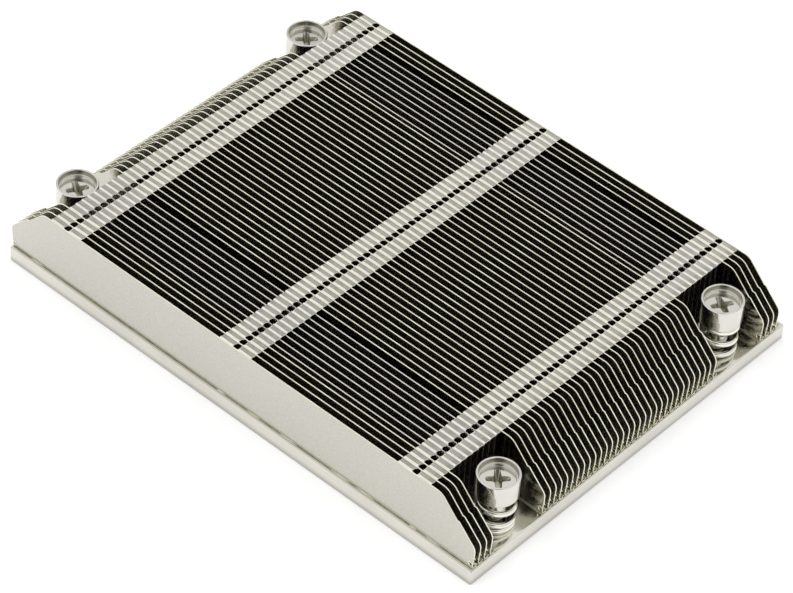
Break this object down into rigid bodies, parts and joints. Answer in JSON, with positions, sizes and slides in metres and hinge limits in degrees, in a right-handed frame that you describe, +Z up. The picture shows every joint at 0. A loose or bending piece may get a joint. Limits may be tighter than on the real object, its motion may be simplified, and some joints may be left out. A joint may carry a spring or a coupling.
{
  "type": "passive server cpu heatsink",
  "caption": "Low passive processor heatsink: a flat plated base plate, a stack of thin folded sheet fins locked along three top bands, and captive spring screws at the corners.",
  "frame": {"origin": "centre of the four-screw pattern, on the contact face under the base plate", "axes": "+X along the fins, +Y across the fins from the front fin to the closing fin, +Z up from the contact face to the fin tops"},
  "size_m": [0.104, 0.0791, 0.0148],
  "materials": {
    "nickel_plate": "satin nickel plating on copper",
    "fin_sheet": "satin nickel-plated sheet",
    "screw_steel": "bright nickel plating",
    "spring_steel": "bright nickel-plated spring wire",
    "ring_steel": "oiled spring steel"
  },
  "bodies": {
    "sink": {"base_plate": "nickel_plate", "fin_01": "fin_sheet", "fin_02": "fin_sheet", "fin_03": "fin_sheet", "fin_04": "fin_sheet", "fin_05": "fin_sheet", "fin_06": "fin_sheet", "fin_07": "fin_sheet", "fin_08": "fin_sheet", "fin_09": "fin_sheet", "fin_10": "fin_sheet", "fin_11": "fin_sheet", "fin_12": "fin_sheet", "fin_13_14": "fin_sheet", "fin_15_16": "fin_sheet", "fin_17_18": "fin_sheet", "fin_19_20": "fin_sheet", "fin_21_22": "fin_sheet", "fin_23_24": "fin_sheet", "fin_25_26": "fin_sheet", "fin_27_28": "fin_sheet", "fin_29_30": "fin_sheet", "fin_31_32": "fin_sheet", "fin_33_34": "fin_sheet", "fin_35_36": "fin_sheet", "fin_37_38": "fin_sheet", "fin_39_40": "fin_sheet", "fin_41_42": "fin_sheet", "fin_43_44": "fin_sheet", "fin_45": "fin_sheet", "fin_46": "fin_sheet", "fin_47": "fin_sheet", "fin_48": "fin_sheet", "fin_49": "fin_sheet", "fin_50": "fin_sheet", "fin_51": "fin_sheet", "fin_52": "fin_sheet", "fin_53": "fin_sheet", "fin_54": "fin_sheet", "fin_55": "fin_sheet", "fin_56": "fin_sheet", "spring_left_front": "spring_steel", "spring_left_back": "spring_steel", "spring_right_front": "spring_steel", "spring_right_back": "spring_steel"},
    "carrier_left_front": {"retaining_ring_left_front": "ring_steel"},
    "screw_left_front": {"screw_left_front": "screw_steel"},
    "carrier_left_back": {"retaining_ring_left_back": "ring_steel"},
    "screw_left_back": {"screw_left_back": "screw_steel"},
    "carrier_right_front": {"retaining_ring_right_front": "ring_steel"},
    "screw_right_front": {"screw_right_front": "screw_steel"},
    "carrier_right_back": {"retaining_ring_right_back": "ring_steel"},
    "screw_right_back": {"screw_right_back": "screw_steel"}
  },
  "joints": [
    {"name": "screw_left_front_press", "type": "slide", "parent": "sink", "child": "carrier_left_front", "axis": [0, 0, -1], "range_m": [0, 0.0025], "stiffness_N_per_m": 20000, "springref_m": -0.0002, "deforming": ["spring_left_front"]},
    {"name": "screw_left_front_turn", "type": "hinge", "parent": "carrier_left_front", "child": "screw_left_front", "pos_m": [-0.047, -0.028, 0], "axis": [0, 0, -1], "continuous": true},
    {"name": "screw_left_back_press", "type": "slide", "parent": "sink", "child": "carrier_left_back", "axis": [0, 0, -1], "range_m": [0, 0.0025], "stiffness_N_per_m": 20000, "springref_m": -0.0002, "deforming": ["spring_left_back"]},
    {"name": "screw_left_back_turn", "type": "hinge", "parent": "carrier_left_back", "child": "screw_left_back", "pos_m": [-0.047, 0.028, 0], "axis": [0, 0, -1], "continuous": true},
    {"name": "screw_right_front_press", "type": "slide", "parent": "sink", "child": "carrier_right_front", "axis": [0, 0, -1], "range_m": [0, 0.0025], "stiffness_N_per_m": 20000, "springref_m": -0.0002, "deforming": ["spring_right_front"]},
    {"name": "screw_right_front_turn", "type": "hinge", "parent": "carrier_right_front", "child": "screw_right_front", "pos_m": [0.047, -0.028, 0], "axis": [0, 0, -1], "continuous": true},
    {"name": "screw_right_back_press", "type": "slide", "parent": "sink", "child": "carrier_right_back", "axis": [0, 0, -1], "range_m": [0, 0.0025], "stiffness_N_per_m": 20000, "springref_m": -0.0002, "deforming": ["spring_right_back"]},
    {"name": "screw_right_back_turn", "type": "hinge", "parent": "carrier_right_back", "child": "screw_right_back", "pos_m": [0.047, 0.028, 0], "axis": [0, 0, -1], "continuous": true}
  ]
}
